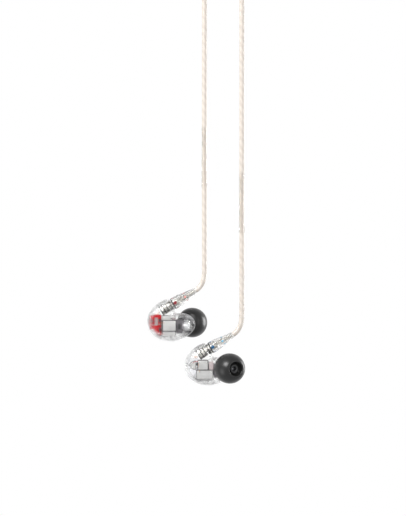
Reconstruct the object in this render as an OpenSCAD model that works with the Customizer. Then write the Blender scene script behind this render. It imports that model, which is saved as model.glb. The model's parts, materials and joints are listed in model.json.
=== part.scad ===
// In-ear monitors: a mirror pair of clear earpieces with snap-in connectors on
// one forked cable. The spare cable is wound into a tied coil; the whole thing
// hangs by the inner top of that coil, which is the origin.
// Millimetres. +Z up, +X to the right of the pair, +Y through the earpieces:
// the right earpiece has its nozzle on +Y, the left one has its nozzle on -Y.

/* [Earpiece shells] */
// Height of the outer half above the parting plane
outer_dome_h = 4.7; // [4.6:0.1:5.4]
// Height of the nozzle half above the parting plane
inner_dome_h = 4.5; // [4.4:0.1:5]
// Wall of the two clear halves
shell_wall = 0.7; // [0.6:0.05:0.75]
// Fullness of the domes (2 = elliptical, larger = boxier)
dome_power = 3; // [2.8:0.1:3.4]

/* [Nozzle and ear sleeve] */
// Lean of the nozzle away from straight through the earpiece
nozzle_tilt = 27; // [24:1:30]
// Radius of the nozzle stem
stem_r = 1.2; // [1.1:0.05:1.25]
// Widest radius of the ear sleeve
sleeve_r = 6.3; // [5.5:0.1:6.6]
// Radius of the dark mouth in the ear sleeve
sleeve_mouth_r = 3.2; // [2.8:0.1:3.4]
// Radius of the inner tube of the ear sleeve
sleeve_tube_r = 1.7; // [1.6:0.05:1.75]

/* [Connector] */
// Rise of the connector axis above horizontal
connector_angle = 31; // [28:1:34]
// Radius of the front of the clear connector hood
hood_r = 2.5; // [2.4:0.05:2.7]
// Radius of the hood where the cord leaves
hood_end_r = 1.2; // [1.15:0.05:1.4]
// Length of the clear hood
hood_len = 11.2; // [10.8:0.1:12]

/* [Cable] */
// Diameter of the cord
cord_d = 2.15; // [2:0.05:2.2]
// Spacing of the two hanging cords
cord_gap = 15.7; // [14:0.1:18]
// Drop of the right earpiece below the hanging point
right_drop = 186.8; // [180:0.5:200]
// How much lower the left earpiece hangs
left_lower = 18.5; // [18:0.1:24]
// Radius of the outermost layer of the coil, at the middle of the cord
coil_layer_r = 14.15; // [14:0.05:14.4]

/* [Hidden] */

eps = 0.01;
big = 60;
gap = 0.1;

// ---- placing ----
cord_r = cord_d / 2;
dot_x = 3.1;                       // connector datum, from the housing centre
dot_z = 7.6;
hood_front = -1.2;                 // along the connector axis from the datum
hood_back = hood_front + hood_len;
ax = cos(connector_angle);
az = sin(connector_angle);
exit_x = dot_x + hood_back * ax;   // where the cord leaves, from the housing centre
exit_z = dot_z + hood_back * az;
bend_x = 3.7;                      // sideways reach of the bend above the hood
bend_z = 8;                        // height of that bend
right_cord_x = -coil_layer_r;
left_cord_x = right_cord_x + cord_gap;
right_x = right_cord_x - bend_x - exit_x;
left_x = left_cord_x - bend_x - exit_x;
right_z = -right_drop;
left_z = -right_drop - left_lower;

module on_left() translate([left_x, 0, left_z]) children();
module on_right() translate([right_x, 0, right_z]) mirror([0, 1, 0]) children();

// local Z becomes the connector axis, zero at the datum
module on_connector() translate([dot_x, 0, dot_z]) rotate([0, 90 - connector_angle, 0]) children();

// local Z becomes the nozzle axis
nozzle_x = 7.3;
nozzle_y = -4;
nozzle_z = -1;
module on_nozzle() translate([nozzle_x, nozzle_y, nozzle_z]) rotate([90, 0, nozzle_tilt]) children();

// ---- earpiece outline: radii every 15 degrees, from +X towards +Z ----
outline_step = 15;
outline = [11.2, 9.2, 6.4, 4.8, 5.4, 6.6, 9.0, 8.9, 8.5, 8.4, 8.5, 8.6,
  8.6, 8.6, 8.6, 8.5, 8.4, 8.4, 8.4, 8.8, 9.2, 9.9, 10.8, 11.6];
outline_n = len(outline);
sides = 48;

function knot(i) = outline[(i + outline_n) % outline_n];
function cubic(a, b, c, d, t) =
  b + t * (c - a + t * (2 * a - 5 * b + 4 * c - d + t * (3 * (b - c) + d - a))) / 2;
function rim_r(deg) = let (k = floor(deg / outline_step), t = deg / outline_step - k)
  cubic(knot(k - 1), knot(k), knot(k + 1), knot(k + 2), t);

dome_steps = [0, 22, 42, 60, 75];
function dome_ring(t, inset, h) = [for (i = [0:sides - 1])
  let (deg = i * 360 / sides, f = pow(cos(t), 2 / dome_power), y = h * pow(sin(t), 2 / dome_power))
  [f * (rim_r(deg) - inset) * cos(deg), y, f * (rim_r(deg) - inset) * sin(deg)]];

// solid dome on +Y with a flat foot at foot_y
module dome(inset, h, foot_y) {
  foot = [for (p = dome_ring(0, inset, h)) [p[0], foot_y, p[2]]];
  rings = concat([foot], [for (t = dome_steps) [for (p = dome_ring(t, inset, h))
    [p[0], max(p[1], foot_y + eps * 2), p[2]]]]);
  n = len(rings);
  points = concat([for (ring = rings) for (p = ring) p], [[0, h, 0]]);
  walls = [for (k = [0:n - 2]) for (i = [0:sides - 1]) let (j = (i + 1) % sides)
    each [[k * sides + i, k * sides + j, (k + 1) * sides + i],
      [k * sides + j, (k + 1) * sides + j, (k + 1) * sides + i]]];
  cap = [for (i = [0:sides - 1]) [(n - 1) * sides + i, (n - 1) * sides + (i + 1) % sides, n * sides]];
  foot_face = [for (i = [sides - 1:-1:0]) i];
  polyhedron(points = points, faces = concat([foot_face], walls, cap), convexity = 4);
}

// ---- small helpers ----
// rounded block between two corners, rounded round the Y direction
module block(x0, x1, z0, z1, y0, y1, r) {
  translate([0, y1, 0]) rotate([90, 0, 0]) linear_extrude(height = y1 - y0) union() {
    translate([x0 + r, z0]) square([x1 - x0 - 2 * r, z1 - z0]);
    translate([x0, z0 + r]) square([x1 - x0, z1 - z0 - 2 * r]);
    for (x = [x0 + r, x1 - r], z = [z0 + r, z1 - r]) translate([x, z]) circle(r = r, $fn = 24);
  }
}

// half space on the nozzle side (-Y) or the outer side (+Y) of the parting plane
module side_space(s) translate([-big / 2, s > 0 ? gap / 2 : -gap / 2 - big, -big / 2]) cube(big);

module rod(a, b, r) {
  v = b - a;
  l = norm(v);
  translate(a) rotate([0, acos(v[2] / l), atan2(v[1], v[0])]) cylinder(h = l, r = r, $fn = 16);
}

// ---- swept cord ----
function unit(v) = v / norm(v);
function heading(p, i) = unit(p[min(i + 1, len(p) - 1)] - p[max(i - 1, 0)]);
function bez(a, b, c, d, t) = pow(1 - t, 3) * a + 3 * pow(1 - t, 2) * t * b
  + 3 * (1 - t) * t * t * c + t * t * t * d;
cord_sides = 8;
module sweep(path, r, side_ref) {
  n = len(path);
  rings = [for (i = [0:n - 1]) let (t = heading(path, i), u = unit(cross(t, side_ref)), v = cross(t, u))
    for (k = [0:cord_sides - 1]) let (a = (k + 0.5) * 360 / cord_sides)
      path[i] + r * (u * cos(a) + v * sin(a))];
  skin = [for (i = [0:n - 2]) for (k = [0:cord_sides - 1]) let (j = (k + 1) % cord_sides)
    each [[i * cord_sides + k, (i + 1) * cord_sides + k, i * cord_sides + j],
      [i * cord_sides + j, (i + 1) * cord_sides + k, (i + 1) * cord_sides + j]]];
  ends = [[for (k = [0:cord_sides - 1]) k],
    [for (k = [cord_sides - 1:-1:0]) (n - 1) * cord_sides + k]];
  polyhedron(points = rings, faces = concat(ends, skin), convexity = 6);
}

// ---- clear halves ----
boss_r = hood_r;
boss_front = -1.5;
boss_back = -5;
socket_r = 1.9;
socket_back = -7;
cone_back = -3.5;
cone_front = 1.3;
cone_r1 = 4.6;
cone_r2 = 2.3;

module boss() on_connector() translate([0, 0, boss_back])
  cylinder(h = boss_front - boss_back, r = boss_r, $fn = 48);
module socket_bore() on_connector() translate([0, 0, socket_back - 1])
  cylinder(h = boss_front - socket_back + 2, r = socket_r + gap, $fn = 48);

// keeps a curved shell as one fine mesh at its own size
module as_mesh() resize([0, 0, 0]) children();

module outer_shell() color([0.92, 0.93, 0.95, 0.35]) as_mesh() difference() {
  intersection() {
    union() {
      difference() {
        dome(0, outer_dome_h, 0);
        dome(shell_wall, outer_dome_h - shell_wall, -1);
      }
      boss();
    }
    side_space(1);
  }
  socket_bore();
}

module cone(inset, front) on_nozzle() translate([0, 0, cone_back - inset])
  cylinder(h = front - cone_back + inset, r1 = cone_r1 - inset, r2 = cone_r2 - inset, $fn = 48);

module inner_shell() color([0.92, 0.93, 0.95, 0.35]) as_mesh() difference() {
  intersection() {
    union() {
      difference() {
        union() {
          mirror([0, 1, 0]) dome(0, inner_dome_h, 0);
          cone(0, cone_front);
        }
        mirror([0, 1, 0]) dome(shell_wall, inner_dome_h - shell_wall, -1);
        cone(shell_wall, cone_front - shell_wall);
      }
      boss();
    }
    side_space(-1);
  }
  on_nozzle() translate([0, 0, cone_back]) cylinder(h = big / 2, r = stem_r + gap, $fn = 32);
  socket_bore();
}

// ---- nozzle ----
stem_back = -1.5;
stem_front = 9;
module nozzle_stem() color([0.80, 0.80, 0.82]) on_nozzle() difference() {
  translate([0, 0, stem_back]) cylinder(h = stem_front - stem_back, r = stem_r, $fn = 32);
  translate([0, 0, stem_back - 1]) cylinder(h = stem_front - stem_back + 2, r = stem_r - 0.45, $fn = 32);
}
screen_t = 0.15;
module nozzle_screen() color([0.35, 0.35, 0.37]) on_nozzle() translate([0, 0, stem_front])
  cylinder(h = screen_t, r = stem_r - 0.2, $fn = 24);

module throat_barrel() color([0.90, 0.90, 0.92]) translate([6.3, 0, -2.15])
  rotate([0, 90, 0]) difference() {
  cylinder(h = 2.9, r = 1.5, $fn = 32);
  translate([0, 0, 2]) cylinder(h = 2, r = 0.9, $fn = 32);
}
module tube_block() color([0.66, 0.58, 0.58]) block(1.5, 3.4, -1.9, 1.6, -2.7, -0.3, 0.3);

// ---- drivers ----
module woofer_upper() color([0.78, 0.78, 0.77]) block(-2.1, 3.4, -4.2, 0.2, 0.3, 3, 0.35);
module woofer_lower() color([0.78, 0.78, 0.77]) union() {
  block(-3.7, 3.3, -6, -2.1, -2.1, -0.3, 0.35);
  block(-2.35, 3.3, -6.5, -4.4, -0.5, 2.1, 0.35);
}
module mid_driver() color([0.80, 0.80, 0.79]) block(-3.1, 1.2, -1.95, 2.1, -2.9, -0.3, 0.35);
tweeter_cut = -3.9;
module tweeter_driver() color([0.76, 0.76, 0.75]) intersection() {
  translate([-4.4, -0.3, 0]) rotate([90, 0, 0]) cylinder(h = 1.9, r = 1.8, $fn = 40);
  translate([tweeter_cut - big, -big / 2, -big / 2]) cube(big);
}
module driver_cradle() color([0.30, 0.28, 0.31]) union() {
  block(3.6, 6.1, -5.4, 0.5, -2.2, 2.2, 0.4);
  block(-2.7, 4.4, -4.25, 0.3, -0.15, 0.15, 0.3);
  block(-2.65, -2.2, -4.2, 0.2, -0.1, 2.6, 0.15);
}

// ---- crossover board, its parts and leads ----
board_y = 1.1;
board_t = 0.5;
module crossover_board() translate([0, board_y + board_t, 0]) rotate([90, 0, 0])
  linear_extrude(height = board_t) difference() {
    polygon([[-7.2, 2.1], [-5.7, 2.7], [-2.8, 2.7], [-2.8, -6.2], [-4.6, -5.2], [-7.2, -2.4]]);
    polygon([[-5.6, 1.5], [-4.1, 1.5], [-4.1, -1.9], [-5.6, -1.9]]);
  }
module board_parts() color([0.18, 0.17, 0.18]) {
  for (z = [-4.3, -0.4]) block(-3.8, -3.1, z, z + 1.3, board_y + board_t, board_y + board_t + 0.4, 0.1);
  block(-6.9, -6.1, -0.6, 0.6, board_y + board_t, board_y + board_t + 0.3, 0.1);
}
lead_r = 0.15;
module lead_wires() color([0.72, 0.45, 0.25])
  for (k = [0, 1]) rod([-3.4, 0.6 + k * 0.5, 4.1], [-5.2 + k * 1.2, 1.35, 2.75], lead_r);

// ---- socket and plug ----
module socket_shell() color([0.82, 0.80, 0.74]) on_connector() difference() {
  translate([0, 0, socket_back]) cylinder(h = -1.7 - socket_back, r = socket_r, $fn = 40);
  translate([0, 0, socket_back - 1]) cylinder(h = -socket_back + 1, r = 1.5, $fn = 40);
}
module socket_contact() color([0.82, 0.66, 0.34]) on_connector() difference() {
  union() {
    translate([0, 0, -6.95]) cylinder(h = 0.35, r = 1.45, $fn = 32);
    translate([0, 0, -6.6]) cylinder(h = 1.3, r = 0.75, $fn = 32);
  }
  translate([0, 0, -6.5]) cylinder(h = 2, r = 0.4, $fn = 24);
}
module connector_plug() color([0.84, 0.82, 0.78]) on_connector() rotate_extrude($fn = 40)
  polygon([[0, -6.4], [0.3, -6.4], [0.3, -5], [1.3, -5], [1.3, -4.8], [1, -4.8], [1, -3.2],
    [1.3, -3.2], [1.3, 1.6], [0.75, 2.4], [0.75, hood_back - 0.6], [0, hood_back - 0.6]]);
module snap_ring() color([0.85, 0.70, 0.38]) on_connector() translate([0, 0, -4.7]) difference() {
  cylinder(h = 1.4, r = 1.4, $fn = 40);
  translate([0, 0, -1]) cylinder(h = 4, r = 1.1, $fn = 40);
}

dark_dot_r = 0.75;
light_dot_r = 0.45;
light_dot_s = 4.8;
dark_dot_y = 2;
light_dot_y = 1.45;
hood_mid_r = 2.25;
module connector_hood() color([0.93, 0.94, 0.95, 0.4]) difference() {
  on_connector() rotate_extrude($fn = 48)
    polygon([[1.45, hood_front], [1.45, 2], [0.85, 2.8], [0.85, hood_back - 0.5], [0, hood_back - 0.5],
      [0, hood_back], [hood_end_r, hood_back], [hood_mid_r, 2.9], [hood_r, 2.4], [hood_r, hood_front]]);
  for (s = [0, 1]) mirror([0, s, 0]) {
    translate([dot_x, -dark_dot_y + eps, dot_z])
      rotate([90, 0, 0]) cylinder(h = 2, r = dark_dot_r + 0.05, $fn = 32);
    translate([dot_x + light_dot_s * ax, -light_dot_y + eps, dot_z + light_dot_s * az])
      rotate([90, 0, 0]) cylinder(h = 2, r = light_dot_r + 0.05, $fn = 32);
  }
}
module dot_dark() for (s = [0, 1]) mirror([0, s, 0])
  translate([dot_x, -dark_dot_y, dot_z]) rotate([90, 0, 0]) cylinder(h = 0.5, r = dark_dot_r, $fn = 32);
module dot_light() for (s = [0, 1]) mirror([0, s, 0])
  translate([dot_x + light_dot_s * ax, -light_dot_y, dot_z + light_dot_s * az])
    rotate([90, 0, 0]) cylinder(h = 0.55, r = light_dot_r, $fn = 32);

// ---- ear sleeve: profile along the nozzle axis ----
sleeve_back = 1.6;
sleeve_front = 12;
module ear_sleeve() color([0.16, 0.16, 0.17]) on_nozzle() rotate_extrude($fn = 64)
  polygon([[sleeve_tube_r + 0.05, sleeve_back], [sleeve_r - 2.5, sleeve_back], [sleeve_r - 1.6, 2],
    [sleeve_r - 0.8, 3], [sleeve_r - 0.2, 4.5], [sleeve_r, 6.2], [sleeve_r - 0.2, 8],
    [sleeve_r - 0.8, 9.6], [sleeve_r - 1.55, 10.8], [sleeve_r - 2.3, 11.7],
    [sleeve_mouth_r, sleeve_front], [sleeve_mouth_r - 0.25, 11.7],
    [sleeve_mouth_r - 0.4, 11], [sleeve_mouth_r - 0.7, 10], [sleeve_tube_r + 0.25, 9.5],
    [sleeve_tube_r + 0.05, 9.4]]);
tube_front = 10.4;
lip_back = 9.3;
module sleeve_core() color([0.22, 0.22, 0.23]) on_nozzle() difference() {
  translate([0, 0, sleeve_back + 0.3])
    cylinder(h = tube_front - sleeve_back - 0.3, r = sleeve_tube_r, $fn = 40);
  translate([0, 0, sleeve_back - 1])
    cylinder(h = lip_back - sleeve_back + 1, r = stem_r + gap, $fn = 32);
  translate([0, 0, sleeve_back - 1]) cylinder(h = big / 2, r = 0.95, $fn = 32);
}

// ---- collar on the formable part of each cord ----
collar_wide_r = 1.28;
collar_slim_r = 1.14;
collar_part = 12.4;
module wire_collar(x, z_top) color([0.86, 0.84, 0.80, 0.6])
  translate([x, 0, z_top - 2 * collar_part]) difference() {
  union() {
    cylinder(h = collar_part, r = collar_wide_r, $fn = 32);
    translate([0, 0, collar_part - eps]) cylinder(h = collar_part + eps, r = collar_slim_r, $fn = 32);
  }
  translate([0, 0, -1]) cylinder(h = 2 * collar_part + 2, r = cord_r, $fn = 32);
}
collar_right_top = -105.8;
collar_left_top = -125;

// ---- hanging cords ----
bend_pull = 3;
bend_steps = [0, 0.2, 0.4, 0.6, 0.8, 1];
function bend(px, pz) = let (a = [px, 0, pz], d = [px + bend_x, 0, pz + bend_z])
  [for (t = bend_steps) bez(a, a + bend_pull * [ax, 0, az], d - [0, 0, 3.5], d, t)];
swing_low = -52;       // height where the cords start to lean to the coil
swing_high = -12;
slot = cord_d / 2;     // half spacing of two cords side by side
coil_z = -(coil_layer_r - 3.5 * cord_d + 0.15); // middle of the coil below the origin
swing_steps = [0.12, 0.25, 0.4, 0.55, 0.7, 0.85, 1];
function swing(x0, x1, y1) = [for (t = swing_steps)
  bez([x0, 0, swing_low], [x0, 0, -34], [x1, y1, -30], [x1, y1, swing_high], t)];
cord_end_z = -9;

module cord_right() color([0.88, 0.84, 0.80]) sweep(concat(bend(right_x + exit_x, right_z + exit_z),
  [[right_cord_x, 0, -110], [right_cord_x, 0, swing_low]], swing(right_cord_x, right_cord_x, -slot),
  [[right_cord_x, -slot, cord_end_z]]), cord_r, [0, 1, 0]);
module cord_left() color([0.88, 0.84, 0.80]) sweep(concat(bend(left_x + exit_x, left_z + exit_z),
  [[left_cord_x, 0, -120], [left_cord_x, 0, swing_low]], swing(left_cord_x, right_cord_x, slot),
  [[right_cord_x, slot, cord_end_z]]), cord_r, [0, 1, 0]);

// ---- coil: closed outer shape of the wound cable ----
coil_in_r = coil_layer_r - 3.5 * cord_d + 0.15;
coil_out_r = coil_layer_r + cord_r;
coil_half = 4.3;
coil_edge = 0.9;
function coil_section(g) = [
  [coil_in_r - g + coil_edge, -coil_half - g], [coil_out_r + g - coil_edge, -coil_half - g],
  [coil_out_r + g, -coil_half - g + coil_edge], [coil_out_r + g, coil_half + g - coil_edge],
  [coil_out_r + g - coil_edge, coil_half + g], [coil_in_r - g + coil_edge, coil_half + g],
  [coil_in_r - g, coil_half + g - coil_edge], [coil_in_r - g, -coil_half - g + coil_edge]];
module on_coil() translate([0, 0, coil_z]) rotate([90, 0, 0]) children();
module cord_coil() color([0.88, 0.84, 0.80]) on_coil() rotate_extrude($fn = 72) polygon(coil_section(0));
tie_t = 0.8;
tie_angle = 20;
tie_at = 130;
module coil_tie() color([0.12, 0.12, 0.13]) on_coil() rotate([0, 0, tie_at])
  rotate_extrude(angle = tie_angle, $fn = 72) difference() {
    polygon(coil_section(gap + tie_t));
    polygon(coil_section(gap));
  }

// ---- slider, fork and the leads between them and the coil ----
fork_x = 18.5;
fork_y = 1.4;
fork_top = -27.5;
fork_mid = -31.5;
fork_end = -36;
tail_steps = [0, 0.25, 0.5, 0.75, 1];
function tail(s) = concat([for (t = tail_steps)
  bez([coil_layer_r, s * 3.2, coil_z - 1], [coil_layer_r, s * 3.2, -11.5],
    [fork_x, s * fork_y, -9.5], [fork_x, s * fork_y, -14.5], t)], [[fork_x, s * fork_y, fork_top]]);
module cord_tails() color([0.88, 0.84, 0.80]) for (s = [-1, 1]) sweep(tail(s), cord_r, [0, 1, 0]);

module pair_section(r) union() {
  for (s = [-1, 1]) translate([0, s * fork_y]) circle(r = r, $fn = 32);
  translate([-r, -fork_y]) square([2 * r, 2 * fork_y]);
}
slider_top = -15.2;
slider_len = 4.5;
module cinch_slider() color([0.13, 0.13, 0.14]) translate([fork_x, 0, slider_top - slider_len])
  linear_extrude(height = slider_len) difference() {
    pair_section(2.1);
    for (s = [-1, 1]) translate([0, s * fork_y]) circle(r = cord_r + 0.17, $fn = 32);
  }
module y_split() color([0.13, 0.13, 0.14]) translate([fork_x, 0, 0]) union() {
  translate([0, 0, fork_mid]) linear_extrude(height = fork_top - fork_mid) pair_section(2);
  translate([0, 0, fork_end]) cylinder(h = fork_mid - fork_end + eps, r1 = 1.5, r2 = 2, $fn = 32);
}

turn_r = 5;
turn_z = fork_end - 1.5;
turn_steps = [0, 30, 60, 90, 120, 150, 180];
layer2_r = coil_layer_r - cord_d;
rise_steps = [0.25, 0.5, 0.75, 1];
lead_path = concat([[fork_x, 0, fork_end]], [for (a = turn_steps)
  [fork_x, turn_r - turn_r * cos(a), turn_z - turn_r * sin(a)]],
  [for (t = rise_steps) bez([fork_x, 2 * turn_r, turn_z], [fork_x, 2 * turn_r, -25],
    [layer2_r, 5.4, -22], [layer2_r, 5.4, coil_z], t)]);
// front crossing of the coil face, spreading outwards, then straight up to the plug
plug_x = 17;
plug_y = -5.4;
cross_steps = [-150, -130, -110, -90, -70, -50, -32, -14];
cross_r0 = 8.6;
cross_path = concat([for (a = cross_steps) let (r = cross_r0 + (plug_x - cross_r0) * (a + 150) / 150)
  [r * cos(a), plug_y, coil_z + r * sin(a)]], [[plug_x, plug_y, coil_z + 0.5], [plug_x, plug_y, 3]]);
module main_lead() color([0.88, 0.84, 0.80]) {
  sweep(lead_path, cord_r, [1, 0, 0]);
  sweep(cross_path, cord_r, [0, 1, 0]);
}

// ---- 3.5 mm plug, pointing up ----
plug_low = 3;
grip_low = 6.5;
grip_high = 19;
pin_r = 1.75;
pin_root = 20;
core_r = 0.9;
pin_cuts = [20, 26.6, 27.3, 29.9, 30.6];
tip_end = 34;
module plug_body() color([0.12, 0.12, 0.13]) translate([plug_x, plug_y, 0]) union() {
  translate([0, 0, plug_low]) cylinder(h = grip_low - plug_low, r1 = 1.5, r2 = 2.2, $fn = 32);
  translate([0, 0, grip_low - eps]) cylinder(h = grip_high - grip_low + eps, r = 3.1, $fn = 48);
  translate([0, 0, grip_high]) cylinder(h = pin_root - grip_high, r = 2.6, $fn = 48);
}
module plug_contacts() color([0.83, 0.68, 0.36]) translate([plug_x, plug_y, 0]) {
  translate([0, 0, pin_cuts[0]]) cylinder(h = pin_cuts[1] - pin_cuts[0], r = pin_r, $fn = 40);
  translate([0, 0, pin_cuts[2]]) cylinder(h = pin_cuts[3] - pin_cuts[2], r = pin_r, $fn = 40);
  translate([0, 0, pin_cuts[4]]) rotate_extrude($fn = 40)
    polygon([[0, 0], [pin_r, 0], [pin_r, 0.4], [1.25, 1.1], [1.6, 1.9], [0.5, 3.4], [0, 3.4]]);
}
module plug_insulators() color([0.08, 0.08, 0.08]) translate([plug_x, plug_y, 0])
  for (k = [1, 3]) translate([0, 0, pin_cuts[k]])
    cylinder(h = pin_cuts[k + 1] - pin_cuts[k], r = pin_r - 0.02, $fn = 40);

// ---- one module per node ----
module outer_shell_r() on_right() outer_shell();
module outer_shell_l() on_left() outer_shell();
module inner_shell_r() on_right() inner_shell();
module inner_shell_l() on_left() inner_shell();
module nozzle_stem_r() on_right() nozzle_stem();
module nozzle_stem_l() on_left() nozzle_stem();
module nozzle_screen_r() on_right() nozzle_screen();
module nozzle_screen_l() on_left() nozzle_screen();
module throat_barrel_r() on_right() throat_barrel();
module throat_barrel_l() on_left() throat_barrel();
module tube_block_r() on_right() tube_block();
module tube_block_l() on_left() tube_block();
module woofer_upper_r() on_right() woofer_upper();
module woofer_upper_l() on_left() woofer_upper();
module woofer_lower_r() on_right() woofer_lower();
module woofer_lower_l() on_left() woofer_lower();
module mid_driver_r() on_right() mid_driver();
module mid_driver_l() on_left() mid_driver();
module tweeter_driver_r() on_right() tweeter_driver();
module tweeter_driver_l() on_left() tweeter_driver();
module driver_cradle_r() on_right() driver_cradle();
module driver_cradle_l() on_left() driver_cradle();
module crossover_board_r() color([0.78, 0.12, 0.20]) on_right() crossover_board();
module crossover_board_l() color([0.86, 0.87, 0.90, 0.5]) on_left() crossover_board();
module board_parts_r() on_right() board_parts();
module board_parts_l() on_left() board_parts();
module lead_wires_r() on_right() lead_wires();
module lead_wires_l() on_left() lead_wires();
module socket_shell_r() on_right() socket_shell();
module socket_shell_l() on_left() socket_shell();
module socket_contact_r() on_right() socket_contact();
module socket_contact_l() on_left() socket_contact();
module ear_sleeve_r() on_right() ear_sleeve();
module ear_sleeve_l() on_left() ear_sleeve();
module sleeve_core_r() on_right() sleeve_core();
module sleeve_core_l() on_left() sleeve_core();
module connector_hood_r() on_right() connector_hood();
module connector_hood_l() on_left() connector_hood();
module connector_plug_r() on_right() connector_plug();
module connector_plug_l() on_left() connector_plug();
module snap_ring_r() on_right() snap_ring();
module snap_ring_l() on_left() snap_ring();
module dot_dark_r() color([0.55, 0.10, 0.12]) on_right() dot_dark();
module dot_dark_l() color([0.08, 0.32, 0.45]) on_left() dot_dark();
module dot_light_r() color([0.94, 0.50, 0.50]) on_right() dot_light();
module dot_light_l() color([0.45, 0.74, 0.85]) on_left() dot_light();
module wire_collar_r() wire_collar(right_cord_x, collar_right_top);
module wire_collar_l() wire_collar(left_cord_x, collar_left_top);

outer_shell_r();
inner_shell_r();
nozzle_stem_r();
nozzle_screen_r();
throat_barrel_r();
tube_block_r();
woofer_upper_r();
woofer_lower_r();
mid_driver_r();
tweeter_driver_r();
driver_cradle_r();
crossover_board_r();
board_parts_r();
lead_wires_r();
socket_shell_r();
socket_contact_r();
ear_sleeve_r();
sleeve_core_r();
connector_hood_r();
connector_plug_r();
snap_ring_r();
dot_dark_r();
dot_light_r();
wire_collar_r();
outer_shell_l();
inner_shell_l();
nozzle_stem_l();
nozzle_screen_l();
throat_barrel_l();
tube_block_l();
woofer_upper_l();
woofer_lower_l();
mid_driver_l();
tweeter_driver_l();
driver_cradle_l();
crossover_board_l();
board_parts_l();
lead_wires_l();
socket_shell_l();
socket_contact_l();
ear_sleeve_l();
sleeve_core_l();
connector_hood_l();
connector_plug_l();
snap_ring_l();
dot_dark_l();
dot_light_l();
wire_collar_l();
cord_right();
cord_left();
cord_tails();
main_lead();
cord_coil();
coil_tie();
y_split();
cinch_slider();
plug_body();
plug_contacts();
plug_insulators();
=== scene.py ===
import math

import bpy
import numpy as np
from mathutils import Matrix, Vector
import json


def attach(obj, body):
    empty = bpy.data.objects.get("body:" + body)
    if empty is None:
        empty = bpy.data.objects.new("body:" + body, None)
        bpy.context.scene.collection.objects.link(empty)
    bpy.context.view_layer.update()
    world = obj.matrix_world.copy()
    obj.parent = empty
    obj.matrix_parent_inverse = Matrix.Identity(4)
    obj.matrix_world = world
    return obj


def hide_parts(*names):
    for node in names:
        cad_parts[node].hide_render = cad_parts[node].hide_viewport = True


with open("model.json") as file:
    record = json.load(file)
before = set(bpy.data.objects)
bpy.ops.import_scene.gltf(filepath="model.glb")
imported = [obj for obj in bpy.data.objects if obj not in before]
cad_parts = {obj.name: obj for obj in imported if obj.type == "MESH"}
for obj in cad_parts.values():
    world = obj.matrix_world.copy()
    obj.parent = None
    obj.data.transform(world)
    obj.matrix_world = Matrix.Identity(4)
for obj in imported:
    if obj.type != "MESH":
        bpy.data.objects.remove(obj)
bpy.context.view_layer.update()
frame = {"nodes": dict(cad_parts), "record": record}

MM = 0.001
NODES = frame["nodes"]

# ------------------------------------------------------------------ sizes, as in the CAD (mm)
# the connector's axis lies in the x-z plane, this far above x, and runs from the dots to the cord
CONNECTOR_TILT = math.radians(31)
AX, AZ = math.cos(CONNECTOR_TILT), math.sin(CONNECTOR_TILT)
DOT_X, DOT_Z = 3.1, 7.6
HOOD_BACK = 10.0
EXIT_X, EXIT_Z = DOT_X + HOOD_BACK * AX, DOT_Z + HOOD_BACK * AZ
BEND_X, BEND_Z = 3.7, 8.0
CORD_D = 2.15
CORD_R = CORD_D / 2
COIL_R = 14.15
RIGHT_CORD_X = -COIL_R
LEFT_CORD_X = RIGHT_CORD_X + 15.7
# x and z of each earpiece's own origin
RIGHT = (RIGHT_CORD_X - BEND_X - EXIT_X, -186.8)
LEFT = (LEFT_CORD_X - BEND_X - EXIT_X, -205.3)
COIL_Z = -(COIL_R - 3.5 * CORD_D + 0.15)
# the shell's radius at even steps round y, from +x towards +z
OUTLINE = [11.2, 9.2, 6.4, 4.8, 5.4, 6.6, 9.0, 8.9, 8.5, 8.4, 8.5, 8.6,
           8.6, 8.6, 8.6, 8.5, 8.4, 8.4, 8.4, 8.8, 9.2, 9.9, 10.8, 11.6]
OUTLINE_STEP = 360 / len(OUTLINE)
OUTER_H, INNER_H = 4.7, 4.5
WALL = 0.7
NOZZLE_TILT = math.radians(27)
NOZZLE = (7.3, -4.0, -1.0)
# x and z range of each driver can
WOOFER_UPPER = (-2.1, 3.4, -4.2, 0.2)
WOOFER_LOWER = (-3.7, 3.3, -6.0, -2.1)
WOOFER_STEP = (-2.35, 3.3, -6.5, -4.4)
MID_DRIVER = (-3.1, 1.2, -1.95, 2.1)
TWEETER_X, TWEETER_R = -4.4, 1.8

# ------------------------------------------------------------------ camera
cam_data = bpy.data.cameras.new("camera")
cam_data.lens = 149.5
cam_data.sensor_width = 36
cam_data.clip_start = 0.01
cam = bpy.data.objects.new("camera", cam_data)
bpy.context.scene.collection.objects.link(cam)
cam.location = (-14.76 * MM, -0.9, -160.4 * MM)
cam.rotation_euler = (math.pi / 2, 0, 0)
bpy.context.scene.camera = cam


# ------------------------------------------------------------------ materials
def new_mat(name):
    m = bpy.data.materials.new(name)
    m.use_nodes = True
    nt = m.node_tree
    return m, nt, nt.nodes["Principled BSDF"]


def noise(nt, coord, scale, detail=4.0, rough=0.55, stretch=None):
    n = nt.nodes.new("ShaderNodeTexNoise")
    n.inputs["Scale"].default_value = scale
    n.inputs["Detail"].default_value = detail
    n.inputs["Roughness"].default_value = rough
    src = coord
    if stretch:
        mp = nt.nodes.new("ShaderNodeMapping")
        mp.inputs["Scale"].default_value = stretch
        nt.links.new(coord, mp.inputs["Vector"])
        src = mp.outputs["Vector"]
    nt.links.new(src, n.inputs["Vector"])
    return n.outputs["Fac"]


def ramp(nt, fac, low, high, a=0.3, b=0.7):
    r = nt.nodes.new("ShaderNodeValToRGB")
    r.color_ramp.elements[0].position = a
    r.color_ramp.elements[1].position = b
    r.color_ramp.elements[0].color = (*low, 1)
    r.color_ramp.elements[1].color = (*high, 1)
    nt.links.new(fac, r.inputs["Fac"])
    return r.outputs["Color"]


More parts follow.
